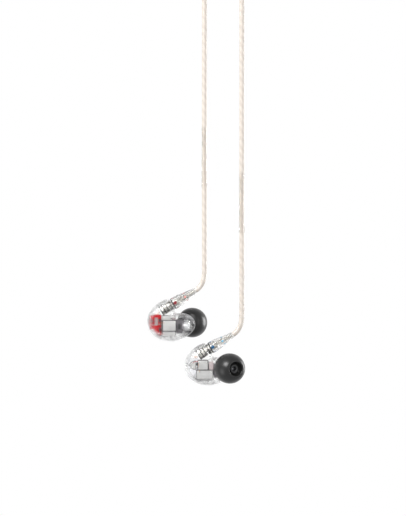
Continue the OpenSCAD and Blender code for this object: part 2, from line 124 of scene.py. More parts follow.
def to_range(nt, fac, low, high, a=0.3, b=0.7):
    r = nt.nodes.new("ShaderNodeMapRange")
    for key, value in (("From Min", a), ("From Max", b), ("To Min", low), ("To Max", high)):
        r.inputs[key].default_value = value
    nt.links.new(fac, r.inputs["Value"])
    return r.outputs["Result"]


def bump(nt, p, height, strength, dist_mm):
    b = nt.nodes.new("ShaderNodeBump")
    b.inputs["Strength"].default_value = strength
    b.inputs["Distance"].default_value = dist_mm * MM
    nt.links.new(height, b.inputs["Height"])
    nt.links.new(b.outputs["Normal"], p.inputs["Normal"])


def surface(name, color, rough, metal=0.0, var=0.08, scale=1200.0, bump_mm=0.02, bump_k=0.25,
            stretch=None, coat=0.0, coat_rough=0.1, sheen=0.0, rough_var=0.07, level=0.5):
    m, nt, p = new_mat(name)
    co = nt.nodes.new("ShaderNodeTexCoord").outputs["Object"]
    tone = noise(nt, co, scale * 0.25, 3.0)
    fine = noise(nt, co, scale, 6.0, 0.6, stretch)
    low = tuple(max(0.0, c * (1 - var)) for c in color)
    high = tuple(min(1.0, c * (1 + var)) for c in color)
    nt.links.new(ramp(nt, tone, low, high), p.inputs["Base Color"])
    nt.links.new(to_range(nt, fine, rough - rough_var, rough + rough_var), p.inputs["Roughness"])
    bump(nt, p, fine, bump_k, bump_mm)
    p.inputs["Metallic"].default_value = metal
    p.inputs["Coat Weight"].default_value = coat
    p.inputs["Coat Roughness"].default_value = coat_rough
    p.inputs["Sheen Weight"].default_value = sheen
    p.inputs["Specular IOR Level"].default_value = level
    return m


def clear(name, color, rough=0.03, ior=1.49, bump_k=0.05, alpha=1.0):
    m, nt, p = new_mat(name)
    co = nt.nodes.new("ShaderNodeTexCoord").outputs["Object"]
    soft = noise(nt, co, 260.0, 2.0)
    fine = noise(nt, co, 2600.0, 5.0)
    nt.links.new(ramp(nt, soft, tuple(c * 0.985 for c in color), color), p.inputs["Base Color"])
    nt.links.new(to_range(nt, fine, max(0.0, rough - 0.02), rough + 0.02), p.inputs["Roughness"])
    bump(nt, p, soft, bump_k, 0.05)
    p.inputs["Transmission Weight"].default_value = 1.0
    p.inputs["IOR"].default_value = ior
    p.inputs["Alpha"].default_value = alpha
    return m


def cord_mat(name):
    # twisted strands seen through a thin pale jacket; u runs round the cord, v along it in millimetres
    m, nt, p = new_mat(name)
    uv = nt.nodes.new("ShaderNodeTexCoord").outputs["UV"]
    sep = nt.nodes.new("ShaderNodeSeparateXYZ")
    nt.links.new(uv, sep.inputs[0])

    def calc(op, a, b):
        n = nt.nodes.new("ShaderNodeMath")
        n.operation = op
        for i, v in enumerate((a, b)):
            if v is None:
                continue
            if isinstance(v, (int, float)):
                n.inputs[i].default_value = v
            else:
                nt.links.new(v, n.inputs[i])
        return n.outputs[0]

    turn = calc("ADD", calc("MULTIPLY", sep.outputs[0], 2.0), calc("MULTIPLY", sep.outputs[1], 0.28))
    wave = calc("SINE", calc("MULTIPLY", turn, 2 * math.pi), None)
    fine_turn = calc("ADD", calc("MULTIPLY", sep.outputs[0], 14.0), calc("MULTIPLY", sep.outputs[1], 1.9))
    fine = calc("SINE", calc("MULTIPLY", fine_turn, 2 * math.pi), None)
    both = calc("ADD", calc("MULTIPLY", wave, 0.7), calc("MULTIPLY", fine, 0.3))
    co = nt.nodes.new("ShaderNodeTexCoord").outputs["Object"]
    grain = noise(nt, co, 900.0, 4.0)
    shade = calc("ADD", both, calc("MULTIPLY", grain, 0.5))
    nt.links.new(ramp(nt, to_range(nt, shade, 0.0, 1.0, -0.9, 1.2), (0.49, 0.44, 0.39), (0.575, 0.52, 0.465),
                      0.1, 0.9), p.inputs["Base Color"])
    nt.links.new(to_range(nt, grain, 0.26, 0.42), p.inputs["Roughness"])
    bump(nt, p, shade, 0.25, 0.03)
    p.inputs["Coat Weight"].default_value = 0.3
    p.inputs["Coat Roughness"].default_value = 0.2
    p.inputs["Subsurface Weight"].default_value = 0.15
    p.inputs["Subsurface Radius"].default_value = (0.001, 0.0008, 0.0006)
    return m


M = {
    "clear_shell": clear("clear_shell", (0.965, 0.965, 0.96), alpha=0.42),
    "clear_hood": clear("clear_hood", (0.88, 0.875, 0.85), 0.12, alpha=0.6),
    "collar": clear("collar", (0.93, 0.915, 0.89), 0.16, 1.3, alpha=0.4),
    "seam": surface("seam", (0.60, 0.60, 0.61), 0.4, var=0.05),
    # purple-grey tinted glass for the ring in the nose: painted shade at the top and bottom of the nose
    "painted_shade_glass": clear("painted_shade_glass", (0.55, 0.50, 0.55), 0.1, 1.3, alpha=0.6),
    "nozzle_metal": surface("nozzle_metal", (0.74, 0.74, 0.75), 0.3, 1.0, bump_mm=0.005),
    "screen": surface("screen", (0.22, 0.22, 0.23), 0.45, 0.8, scale=5200.0, bump_k=0.6),
    "barrel_chrome": surface("barrel_chrome", (0.96, 0.96, 0.955), 0.3, 1.0, bump_mm=0.003, rough_var=0.05),
    "tube_block": surface("tube_block", (0.56, 0.47, 0.47), 0.4),
    "driver_silver": surface("driver_silver", (0.80, 0.79, 0.77), 0.34, 1.0, stretch=(1, 1, 14),
                             bump_mm=0.004),
    "driver_edge": surface("driver_edge", (0.07, 0.065, 0.065), 0.5),
    "cradle": surface("cradle", (0.12, 0.11, 0.12), 0.38),
    "board_r": surface("board_r", (0.44, 0.003, 0.009), 0.42, level=0.15),
    "board_l": clear("board_l", (0.90, 0.90, 0.93), 0.12, 1.3),
    "board_parts": surface("board_parts", (0.05, 0.045, 0.05), 0.5),
    "copper": surface("copper", (0.70, 0.36, 0.20), 0.32, 1.0),
    "wire_red": surface("wire_red", (0.55, 0.05, 0.05), 0.3, coat=0.4),
    "solder": surface("solder", (0.76, 0.76, 0.75), 0.25, 1.0),
    "socket_metal": surface("socket_metal", (0.50, 0.485, 0.45), 0.36, 1.0, bump_mm=0.005),
    "gold": surface("gold", (0.80, 0.60, 0.28), 0.25, 1.0, bump_mm=0.004),
    "plug_metal": surface("plug_metal", (0.68, 0.66, 0.62), 0.3, 1.0, bump_mm=0.005),
    "ear_sleeve": surface("ear_sleeve", (0.0085, 0.0083, 0.008), 0.33, var=0.15, scale=3600.0, bump_mm=0.02,
                          bump_k=0.3, sheen=0.01, rough_var=0.05, level=0.42),
    "sleeve_core": surface("sleeve_core", (0.020, 0.020, 0.021), 0.3, scale=2600.0),
    "dot_dark_r": surface("dot_dark_r", (0.22, 0.012, 0.018), 0.3, coat=0.6),
    "dot_light_r": surface("dot_light_r", (0.82, 0.36, 0.32), 0.3, coat=0.6),
    "dot_dark_l": surface("dot_dark_l", (0.01, 0.10, 0.22), 0.3, coat=0.6),
    "dot_light_l": surface("dot_light_l", (0.17, 0.48, 0.68), 0.3, coat=0.6),
    "cord": cord_mat("cord"),
    "tie": surface("tie", (0.03, 0.03, 0.032), 0.75, scale=2400.0, bump_mm=0.08, bump_k=0.6, sheen=0.4),
    "black_fittings": surface("black_fittings", (0.035, 0.035, 0.037), 0.42, scale=2000.0),
    "insulator": surface("insulator", (0.02, 0.02, 0.02), 0.35),
}
SLOT_OF = {s["node"]: s["material_slot"] for s in frame["record"]["subparts"]}


# ------------------------------------------------------------------ mesh helpers (mm in, metres out)
def add_mesh(name, verts, faces, mat, smooth=True, uvs=None, sharp=None):
    me = bpy.data.meshes.new(name)
    me.from_pydata([(x * MM, y * MM, z * MM) for x, y, z in verts], [], faces)
    if uvs:
        layer = me.uv_layers.new(name="UVMap")
        for poly, face_uv in zip(me.polygons, uvs):
            for li, uv in zip(poly.loop_indices, face_uv):
                layer.data[li].uv = uv
    me.materials.append(M[mat])
    me.polygons.foreach_set("use_smooth", [smooth] * len(me.polygons))
    if sharp:
        me.set_sharp_from_angle(angle=math.radians(sharp))
    me.update()
    o = bpy.data.objects.new(name, me)
    bpy.context.scene.collection.objects.link(o)
    return o


def frames_along(pts, ref):
    pts = [Vector(p) for p in pts]
    out = []
    u = None
    for i, p in enumerate(pts):
        t = (pts[min(i + 1, len(pts) - 1)] - pts[max(i - 1, 0)]).normalized()
        if u is None:
            u = t.cross(Vector(ref)).normalized()
        else:
            u = (u - t * u.dot(t)).normalized()
        out.append((p, t, u, t.cross(u)))
    return out


def tube(name, pts, radius, mat, sides=16, ref=(0, 1, 0)):
    fr = frames_along(pts, ref)
    verts, faces, uvs = [], [], []
    run, runs = 0.0, []
    for i, (p, t, u, v) in enumerate(fr):
        if i:
            run += (p - fr[i - 1][0]).length
        runs.append(run)
        for k in range(sides):
            a = 2 * math.pi * k / sides
            verts.append(tuple(p + radius * (u * math.cos(a) + v * math.sin(a))))
    for i in range(len(fr) - 1):
        for k in range(sides):
            j = (k + 1) % sides
            faces.append((i * sides + k, i * sides + j, (i + 1) * sides + j, (i + 1) * sides + k))
            u0, u1 = k / sides, (k + 1) / sides
            uvs.append([(u0, runs[i]), (u1, runs[i]), (u1, runs[i + 1]), (u0, runs[i + 1])])
    faces.append(tuple(reversed(range(sides))))
    uvs.append([(0.0, 0.0)] * sides)
    n = (len(fr) - 1) * sides
    faces.append(tuple(range(n, n + sides)))
    uvs.append([(0.0, run)] * sides)
    return add_mesh(name, verts, faces, mat, True, uvs, 60)


def bez(a, b, c, d, t):
    a, b, c, d = (np.array(q, float) for q in (a, b, c, d))
    return tuple((1 - t) ** 3 * a + 3 * (1 - t) ** 2 * t * b + 3 * (1 - t) * t * t * c + t ** 3 * d)


def bend(a, b, c, d, steps):
    # a curve from a to d, without its first point
    return [bez(a, b, c, d, k / steps) for k in range(1, steps + 1)]


def spread(pts, step):
    # the same way, with points no further apart than step
    out = [tuple(pts[0])]
    for a, b in zip(pts, pts[1:]):
        n = max(1, math.ceil((Vector(b) - Vector(a)).length / step))
        out += [tuple(Vector(a).lerp(Vector(b), k / n)) for k in range(1, n + 1)]
    return out


def wind(start, sign, keys, step=12):
    # turns round the coil's axis; each key is (degrees run so far, radius, y)
    pts = []
    for (a0, r0, y0), (a1, r1, y1) in zip(keys, keys[1:]):
        n = max(1, round((a1 - a0) / step))
        for k in range(n):
            f = k / n
            s = f * f * (3 - 2 * f) if a1 - a0 < 120 else f
            r, y = r0 + (r1 - r0) * s, y0 + (y1 - y0) * s
            a = math.radians(start + sign * (a0 + (a1 - a0) * f))
            pts.append((r * math.cos(a), y, COIL_Z + r * math.sin(a)))
    a0, r, y = keys[-1]
    a = math.radians(start + sign * a0)
    pts.append((r * math.cos(a), y, COIL_Z + r * math.sin(a)))
    return pts


# ------------------------------------------------------------------ cords
FORK_X = 18.5
SPREAD = 3.0
# the lead fills three rows inside the branches, with four lanes side by side in each
ROWS = [COIL_R - k * CORD_D for k in (1, 2, 3)]
LANES = [k * CORD_D for k in (1.5, 0.5, -0.5, -1.5)]
FACE_Y = 5.4
ENTRY_TURN = 80
CROSSING = 100
PLUG_X = 17.0


def branch_path(place, cord_x, s):
    # up from the connector, once and a half round the coil and down to the Y-split
    ex = (place[0] + EXIT_X, 0.0, place[1] + EXIT_Z)
    top = (cord_x, 0.0, ex[2] + BEND_Z)
    inner_y, outer_y, tail_y = s * CORD_R, s * 3.2, s * 1.4
    pts = [ex] + bend(ex, (ex[0] + 3 * AX, 0, ex[2] + 3 * AZ), (top[0], 0, top[2] - 3.5), top, 14)
    pts += [(cord_x, 0.0, -52.0)]
    pts += bend((cord_x, 0, -52), (cord_x, 0, -34), (-COIL_R, inner_y, -30), (-COIL_R, inner_y, -12), 14)
    pts += wind(180, -1, [(0, COIL_R, inner_y), (300, COIL_R, inner_y), (400, COIL_R, outer_y),
                          (540, COIL_R, outer_y)])
    pts += bend((COIL_R, outer_y, COIL_Z - 0.5), (COIL_R, outer_y, -11.5), (FORK_X, tail_y, -9.5),
                (FORK_X, tail_y, -14.5), 8)
    pts += [(FORK_X, tail_y, -27.5)]
    return spread(pts, SPREAD)


def lead_path():
    # out of the Y-split, round a small loop, through the coil row by row and up to the plug
    loop_r, loop_z = 5, -37.5
    keys = [(0, ROWS[0], FACE_Y), (ENTRY_TURN, ROWS[0], LANES[0])]
    turned = ENTRY_TURN
    for row, radius in enumerate(ROWS):
        for y in (LANES[::-1] if row % 2 else LANES):
            if turned > ENTRY_TURN:
                turned += CROSSING
                keys.append((turned, radius, y))
            turned += 220 if turned == ENTRY_TURN else 260
            keys.append((turned, radius, y))
    whole = math.ceil(turned / 360) * 360
    keys += [(whole + 100, 7.9, -FACE_Y), (whole + 210, 8.6, -FACE_Y), (whole + 360, PLUG_X, -FACE_Y)]
    pts = [(FORK_X, 0.0, -36.0)]
    for a in range(0, 181, 15):
        t = math.radians(a)
        pts.append((FORK_X, loop_r - loop_r * math.cos(t), loop_z - loop_r * math.sin(t)))
    pts += bend((FORK_X, 2 * loop_r, loop_z), (FORK_X, 2 * loop_r, -25), (ROWS[0], FACE_Y, -22),
                (ROWS[0], FACE_Y, COIL_Z), 12)
    pts += wind(0, 1, keys)[1:]
    pts += [(PLUG_X, -FACE_Y, COIL_Z + 0.8), (PLUG_X, -FACE_Y, 3.0)]
    return spread(pts, SPREAD)


right_pts = branch_path(RIGHT, RIGHT_CORD_X, -1)
left_pts = branch_path(LEFT, LEFT_CORD_X, 1)
lead_pts = lead_path()
cord_r = tube("branch_right", right_pts, CORD_R, "cord", 20)
cord_l = tube("branch_left", left_pts, CORD_R, "cord", 20)
lead = tube("lead_to_plug", lead_pts, CORD_R, "cord", 14, (1, 0, 0))
for o in (cord_r, cord_l, lead):
    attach(o, "cable")
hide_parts("cord_right")
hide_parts("cord_left", "cord_tails")
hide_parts("main_lead", "cord_coil")


# ------------------------------------------------------------------ shapes in an earpiece's own frame (mm)
def conn(p):
    # connector frame to earpiece frame: local z along the connector axis
    x, y, z = p
    return (DOT_X + x * AZ + z * AX, y, DOT_Z - x * AX + z * AZ)


def nozz(p):
    # nozzle frame to earpiece frame: local z along the nozzle
    x, y, z = p
    st, ct = math.sin(NOZZLE_TILT), math.cos(NOZZLE_TILT)
    return (NOZZLE[0] + x * ct + z * st, NOZZLE[1] + x * st - z * ct, NOZZLE[2] + y)


def revolve(profile, place, segs):
    # profile points (radius, along), anticlockwise in the radius-along plane gives outward faces
    n = len(profile)
    verts = [place((r * math.cos(2 * math.pi * k / segs), r * math.sin(2 * math.pi * k / segs), s))
             for k in range(segs) for r, s in profile]
    faces = []
    for k in range(segs):
        j = (k + 1) % segs
        for i in range(n):
            m = (i + 1) % n
            faces.append((k * n + i, j * n + i, j * n + m, k * n + m))
    return verts, faces


def between(a, b, c, d, t):
    # smooth curve from b to c at t, led by its neighbours a and d
    return b + 0.5 * t * (c - a + t * (2 * a - 5 * b + 4 * c - d + t * (3 * (b - c) + d - a)))


def smooth_profile(pts, per):
    out, n = [], len(pts)
    for i in range(n):
        near = [np.array(pts[(i + e) % n]) for e in (-1, 0, 1, 2)]
        out += [tuple(between(*near, k / per)) for k in range(per)]
    return [(max(0.0, float(a)), float(b)) for a, b in out]


def outline_r(deg):
    k = math.floor(deg / OUTLINE_STEP)
    near = [OUTLINE[(k + e) % len(OUTLINE)] for e in (-1, 0, 1, 2)]
    return between(*near, deg / OUTLINE_STEP - k)


def pebble(inset, h_out, h_in, sides=96, rings=16, power=3.0):
    # rounded block on the shell's outline, h_out high towards +y and h_in towards -y
    verts, faces = [(0, h_out, 0)], []
    ts = [math.pi / 2 * (1 - k / rings) for k in range(1, rings + 1)]
    ts += [-math.pi / 2 * k / rings for k in range(1, rings)]
    for t in ts:
        f = math.cos(t) ** (2 / power)
        y = (h_out if t >= 0 else -h_in) * abs(math.sin(t)) ** (2 / power)
        for i in range(sides):
            deg = 360 * i / sides
            r = f * (outline_r(deg) - inset)
            verts.append((r * math.cos(math.radians(deg)), y, r * math.sin(math.radians(deg))))
    for k in range(len(ts) - 1):
        upper, lower = 1 + k * sides, 1 + (k + 1) * sides
        for i in range(sides):
            j = (i + 1) % sides
            faces.append((upper + i, upper + j, lower + j, lower + i))
    verts.append((0, -h_in, 0))
    n = len(verts) - 1
    last = 1 + (len(ts) - 1) * sides
    for i in range(sides):
        j = (i + 1) % sides
        faces.append((0, 1 + j, 1 + i))
        faces.append((n, last + i, last + j))
    return verts, faces


def cone(place, z0, z1, r0, r1, segs=64):
    # closed cone or cylinder along the local axis, r0 at z0 and r1 at z1
    verts = [place((0, 0, z0)), place((0, 0, z1))]
    for k in range(segs):
        a = 2 * math.pi * k / segs
        for r, z in ((r0, z0), (r1, z1)):
            verts.append(place((r * math.cos(a), r * math.sin(a), z)))
    faces = []
    for k in range(segs):
        low, low_next = 2 + 2 * k, 2 + 2 * ((k + 1) % segs)
        faces.append((0, low_next, low))
        faces.append((1, low + 1, low_next + 1))
        faces.append((low, low_next, low_next + 1, low + 1))
    return verts, faces


def box_band(x0, x1, z0, z1, y, width, out):
    # thin dark joint that runs round a driver can
    lap = 0.1
    ring = [(x0 - out, z0 - out), (x1 + out, z0 - out), (x1 + out, z1 + out), (x0 - out, z1 + out)]
    inner = [(x0 + lap, z0 + lap), (x1 - lap, z0 + lap), (x1 - lap, z1 - lap), (x0 + lap, z1 - lap)]
    verts, faces = [], []
    for yy in (y - width / 2, y + width / 2):
        verts += [(x, yy, z) for x, z in ring + inner]
    for i in range(4):
        j = (i + 1) % 4
        faces += [(i, j, 8 + j, 8 + i), (4 + j, 4 + i, 12 + i, 12 + j), (j, i, 4 + i, 4 + j),
                  (8 + i, 8 + j, 12 + j, 12 + i)]
    return verts, faces


def box_solid(x0, x1, z0, z1, y0, y1):
    verts = [(x, y, z) for y in (y0, y1) for z in (z0, z1) for x in (x0, x1)]
    return verts, [(0, 1, 3, 2), (5, 4, 6, 7), (4, 0, 2, 6), (1, 5, 7, 3), (2, 3, 7, 6), (4, 5, 1, 0)]


def chamfered(x0, x1, z0, z1, c):
    return [(x0 + c, z0), (x1 - c, z0), (x1, z0 + c), (x1, z1 - c),
            (x1 - c, z1), (x0 + c, z1), (x0, z1 - c), (x0, z0 + c)]


def blob(centre, r, n=14):
    # ball pressed a little flat along y
    verts, faces = [], []
    for i in range(n + 1):
        th = math.pi * i / n
        for k in range(2 * n):
            ph = math.pi * k / n
            verts.append((centre[0] + r * math.sin(th) * math.cos(ph), centre[1] + r * 0.7 * math.cos(th),
                          centre[2] + r * math.sin(th) * math.sin(ph)))
    for i in range(n):
        upper, lower = i * 2 * n, (i + 1) * 2 * n
        for k in range(2 * n):
            j = (k + 1) % (2 * n)
            faces.append((upper + k, upper + j, lower + j, lower + k))
    return verts, faces


def joined(*parts):
    verts, faces = [], []
    for v, f in parts:
        n = len(verts)
        verts += list(v)
        faces += [tuple(i + n for i in q) for q in f]
    return verts, faces


def raw(verts, faces):
    me = bpy.data.meshes.new("tmp")
    me.from_pydata(verts, [], faces)
    o = bpy.data.objects.new("tmp", me)
    bpy.context.scene.collection.objects.link(o)
    return o


def evaluated(o):
    dg = bpy.context.evaluated_depsgraph_get()
    me = bpy.data.meshes.new_from_object(o.evaluated_get(dg))
    verts = [tuple(v.co) for v in me.vertices]
    faces = [tuple(p.vertices) for p in me.polygons]
    bpy.data.meshes.remove(me)
    return verts, faces


def drop(o):
    me = o.data
    bpy.data.objects.remove(o)
    bpy.data.meshes.remove(me)


def melted(part, voxel, rounds):
    # several closed shapes run together into one smooth skin
    o = raw(*part)
    r = o.modifiers.new("r", "REMESH")
    r.mode = "VOXEL"
    r.voxel_size = voxel
    r.adaptivity = 0.0
    s = o.modifiers.new("s", "SMOOTH")
    s.factor = 0.5
    s.iterations = rounds
    out = evaluated(o)
    drop(o)
    return out


def cut(part, *tools):
    o = raw(*part)
    made = []
    for t in tools:
        c = raw(*t)
        made.append(c)
        b = o.modifiers.new("b", "BOOLEAN")
        b.operation = "DIFFERENCE"
        b.solver = "EXACT"
        b.object = c
    out = evaluated(o)
    for c in made + [o]:
        drop(c)
    return out


# ------------------------------------------------------------------ the finer pieces of one earpiece
LENS_X = 8.7                     # the hollow ends here, so the nose is solid like a lens
SEAM_FROM, SEAM_TO = 93, 412     # degrees round the outline, with a gap at the connector
SLEEVE_PROFILE = smooth_profile([
    (1.75, 1.6), (3.7, 1.6), (4.7, 2.0), (5.5, 3.0), (6.1, 4.5), (6.3, 6.2), (6.12, 8.0), (5.52, 9.6),
    (4.75, 10.8), (3.95, 11.6), (3.3, 11.9), (2.98, 11.7), (2.8, 11.0), (2.5, 10.1), (2.0, 9.6),
    (1.75, 9.4)], 6)
CORE_PROFILE = smooth_profile([
    (1.3, 1.9), (1.7, 1.9), (1.7, 6.0), (1.7, 9.9), (1.55, 10.35), (1.2, 10.35), (0.95, 10.1),
    (0.95, 9.45), (1.25, 9.3), (1.3, 6.0)], 5)
HOOD_PROFILE = smooth_profile([
    (1.45, -1.15), (2.2, -1.2), (2.48, -0.95), (2.5, 0.6), (2.48, 2.2), (2.32, 2.75), (2.2, 3.2),
    (1.85, 5.6), (1.45, 8.4), (1.2, 9.7), (1.0, 10.0), (0.6, 9.95), (0.5, 9.6), (0.84, 9.2), (0.85, 6.0),
    (0.85, 3.0), (1.45, 2.0), (1.45, 0.5)], 4)


def make_shell():
    voxel = 0.16
    skin = melted(joined(pebble(0, OUTER_H, INNER_H), cone(conn, -5.0, -1.5, 2.5, 2.5),
                         cone(nozz, -3.3, 1.3, 4.3, 2.3)), voxel, 6)
    room_v, room_f = pebble(WALL, OUTER_H, INNER_H)
    room_v = [(min(x, LENS_X), y, z) for x, y, z in room_v]
    hollow = melted(joined((room_v, room_f), cone(nozz, -3.3, 0.5, 3.6, 1.9)), voxel, 4)
    return cut(skin, hollow, cone(conn, -8.0, 1.0, 2.0, 2.0, 48), cone(nozz, -1.0, 4.0, 1.28, 1.28, 32))


class Side:
    # puts shapes made in an earpiece's own frame where this side hangs; the right one is the mirror twin
    def __init__(self, letter, earpiece, sleeve):
        self.letter = letter
        self.earpiece = earpiece
        self.sleeve = sleeve
        self.x, self.z = RIGHT if letter == "r" else LEFT
        self.y_sign = -1 if letter == "r" else 1

    def placed(self, pts):
        return [(x + self.x, y * self.y_sign, z + self.z) for x, y, z in pts]

    def piece(self, name, part, mat, body, slot, sharp=None, smooth=True):
        verts, faces = part
        if self.y_sign < 0:
            faces = [tuple(reversed(f)) for f in faces]
        o = add_mesh("%s_%s" % (name, self.letter), self.placed(verts), faces, mat, smooth, None, sharp)
        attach(o, body)
        return o

    def strand(self, name, pts, r, mat, body, slot, sides=8, ref=(0, 0, 1)):
        o = tube("%s_%s" % (name, self.letter), self.placed(pts), r, mat, sides, ref)
        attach(o, body)


def housing(side, shell):
    h = side.piece("clear_housing", shell, "clear_shell", side.earpiece, "clear_shell", 50)
    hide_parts("outer_shell_" + side.letter, "inner_shell_" + side.letter)
    seam = []
    for k in range(SEAM_FROM, SEAM_TO, 3):
        r = outline_r(k) * 0.996
        seam.append((r * math.cos(math.radians(k)), 0.0, r * math.sin(math.radians(k))))
    side.strand("parting_seam", seam, 0.06, "seam", side.earpiece, "clear_shell", 8, (0, 1, 0))


def sleeve(side):
    o = side.piece("sleeve_body", revolve(SLEEVE_PROFILE, nozz, 96), "ear_sleeve", side.sleeve, "ear_sleeve")
    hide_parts("ear_sleeve_" + side.letter)
    o = side.piece("sleeve_tube", revolve(CORE_PROFILE, nozz, 72), "sleeve_core", side.sleeve, "sleeve_core")
    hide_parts("sleeve_core_" + side.letter)


def hood(side):
    o = side.piece("hood_clear", revolve(HOOD_PROFILE, conn, 80), "clear_hood", "cable", "clear_hood")
    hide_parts("connector_hood_" + side.letter)


def driver_joints(side):
    # each band is (can, y, width, how far it stands out)
    bands = ((WOOFER_UPPER, 1.0, 0.2, 0.14), (WOOFER_UPPER, 2.75, 0.1, 0.03),
             (WOOFER_LOWER, -0.75, 0.2, 0.16), (WOOFER_LOWER, -1.9, 0.1, 0.03),
             (WOOFER_STEP, 1.0, 0.18, 0.05),
             (MID_DRIVER, -1.1, 0.2, 0.16), (MID_DRIVER, -2.7, 0.1, 0.03))
    part = joined(*[box_band(*can, y, width, out) for can, y, width, out in bands])
    side.piece("driver_joints", part, "driver_edge", side.earpiece, "cradle", None, False)


def solder_points(side):
    spots = ((-3.5, 1.65, -1.4), (-3.5, 1.65, -5.2), (-6.4, 1.65, -1.5), (-2.4, -2.15, -3.0),
             (2.6, -2.15, -3.0), (-2.6, -2.95, 1.3), (0.6, -2.95, 1.3), (-5.3, -2.25, 0.9),
             (-5.3, -2.25, -0.9))
    part = joined(*[blob(spot, 0.32) for spot in spots])
    side.piece("solder_blobs", part, "solder", side.earpiece, "socket_metal")


def socket_lines(side):
    # dark rims round the socket, and ribs along it that are dark and bright in turn
    steps = 36
    for n, (along, r) in enumerate(((-0.9, 2.0), (-2.1, 1.98), (-3.9, 1.98), (-5.3, 1.98), (-6.8, 1.98))):
        turns = [2 * math.pi * k / steps for k in range(steps + 1)]
        ring = [conn((r * math.cos(a), r * math.sin(a), along)) for a in turns]
        side.strand("socket_rim_%d" % n, ring, 0.2, "insulator", side.earpiece, "socket_metal", 8, (1, 0, 1))
    rib_r, rib_len, twist = 1.97, 5.5, 0.16
    for n, degrees in enumerate((20, 70, 110, 160, 200, 250, 290, 340)):
        bar = []
        for k in range(7):
            a = math.radians(degrees) + twist * k
            bar.append(conn((rib_r * math.cos(a), rib_r * math.sin(a), -1.2 - rib_len * k / 6)))
        side.strand("socket_rib_%d" % n, bar, 0.17, ("insulator", "plug_metal")[n % 2], side.earpiece,
                    "socket_metal", 8, (0, 1, 0))


def board_tab(side):
    # the part of the red board that shows past the cans
    part = joined(box_solid(-7.55, -7.0, -1.9, 0.5, 1.12, 1.58),
                  box_solid(-7.3, -6.0, -3.4, -2.2, 1.14, 1.56))
    side.piece("board_tab", part, "board_r", side.earpiece, "board_r", None, False)


def dark_line(side, name, pts, r):
    side.strand(name, pts, r, "driver_edge", side.earpiece, "cradle", 10, (0, 1, 0))


def driver_edges(side):
    # dark outlines of the cans, along the edge of the face that is seen
    faces = ((WOOFER_UPPER, 2.98), (WOOFER_LOWER, -2.08), (WOOFER_STEP, 2.08), (MID_DRIVER, -2.88))
    for n, (can, y) in enumerate(faces):
        loop = [(x, y, z) for x, z in chamfered(*can, 0.3)]
        dark_line(side, "can_edge_%d" % n, loop + loop[:1], 0.15 if y < 0 else 0.11)
    flat_x, flat_z, y = -3.95, 1.75, -2.15
    bow = [(flat_x, y, flat_z)]
    for a in range(80, 281, 20):
        t = math.radians(a)
        bow.append((TWEETER_X + TWEETER_R * math.cos(t), y, TWEETER_R * math.sin(t)))
    dark_line(side, "tweeter_edge", bow + [(flat_x, y, -flat_z), (flat_x, y, flat_z)], 0.14)


def small_dark_parts_and_painted_shade(side):
    # small dark boxes: the five above z 0.25, round the tube block, are painted shade of the tube block; the
    # two at z -6.95 are small dark marks
    marks = ((1.7, 3.9, 0.28, 0.62, 2.3, 2.5), (1.2, 2.0, 0.9, 1.25, 1.6, 1.9),
             (2.7, 3.3, 1.1, 1.7, 1.2, 1.6),
             (-1.6, -0.9, -6.95, -6.7, 1.2, 1.5), (0.9, 1.7, -6.95, -6.7, 1.2, 1.5),
             (4.1, 4.7, 1.2, 1.6, -1.6, -1.2), (4.2, 5.0, 0.55, 0.8, -2.3, -1.8))
    part = joined(*[box_solid(*m) for m in marks])
    side.piece("dark_marks_and_painted_shade", part, "driver_edge", side.earpiece, "cradle", None, False)
    dark_line(side, "lower_bracket", [
        (-4.6, -1.2, -4.2), (-4.5, -1.2, -5.3), (-4.1, -1.2, -5.9), (-3.4, -1.2, -6.3),
        (-2.0, -1.2, -6.45), (0.5, -1.2, -6.5), (2.9, -1.2, -6.35)], 0.14)
    part = joined(*[box_solid(4.35, 5.35, -3.5, -1.2, y0, y1) for y0, y1 in ((2.15, 2.4), (-2.4, -2.15))])
    side.piece("frame_block", part, "insulator", side.earpiece, "cradle", None, False)


def nose_painted_shade_ring(side):
    # a ring of purple-grey tinted glass round the nose: painted shade standing in for the grey-purple
    # shading at its top and bottom
    x, r, z, steps = 6.6, 3.0, -2.0, 48
    turns = [2 * math.pi * k / steps for k in range(steps + 1)]
    ring = [(x, r * math.sin(a), z + r * math.cos(a)) for a in turns]
    side.strand("nose_rim_0", ring, 0.24, "painted_shade_glass", side.earpiece, "clear_shell", 12, (1, 0, 0))


def hair_wires(side):
    ways = (((-3.5, 1.8, -1.4), (-3.3, 2.6, -1.0), (-2.6, 3.1, -0.4), (-1.4, 3.05, -0.8)),
            ((-3.5, 1.8, -5.2), (-3.0, 2.6, -5.6), (-2.4, 2.4, -5.4), (-1.6, 2.15, -5.4)),
            ((-2.4, -2.3, -3.0), (-2.9, -2.8, -1.6), (-3.2, -3.0, 0.2), (-2.6, -3.0, 1.3)),
            ((-5.3, -2.4, 0.9), (-4.6, -3.0, 1.7), (-3.6, -3.1, 1.8), (-2.6, -3.0, 1.3)))
    for n, way in enumerate(ways):
        side.strand("hair_wire_%d" % n, way[:1] + tuple(bend(*way, 12)), 0.09,
                    "wire_red" if n % 2 else "copper", side.earpiece, "copper")


def hood_strands(side):
    # three strands that twist together towards the cord
    steps = 39
    for n in range(3):
        pts = []
        for k in range(steps + 1):
            a = 2 * math.pi * (n / 3 + k / steps * 1.4)
            r = 0.98 * (1 - 0.25 * k / steps) - 0.05
            pts.append(conn((r * math.cos(a), r * math.sin(a), 2.6 + 6.4 * k / steps)))
        side.strand("hood_strand_%d" % n, pts, 0.12, ("plug_metal", "cord", "cord")[n], "cable",
                    "plug_metal", 8, (0, 1, 0))


housing_part = make_shell()
for side in (Side("r", "right_earpiece", "right_sleeve"), Side("l", "left_earpiece", "left_sleeve")):
    housing(side, housing_part)
    sleeve(side)
    hood(side)
    driver_joints(side)
    solder_points(side)
    socket_lines(side)
    if side.letter == "r":
        board_tab(side)
    driver_edges(side)
    small_dark_parts_and_painted_shade(side)
    nose_painted_shade_ring(side)
    hair_wires(side)
    hood_strands(side)


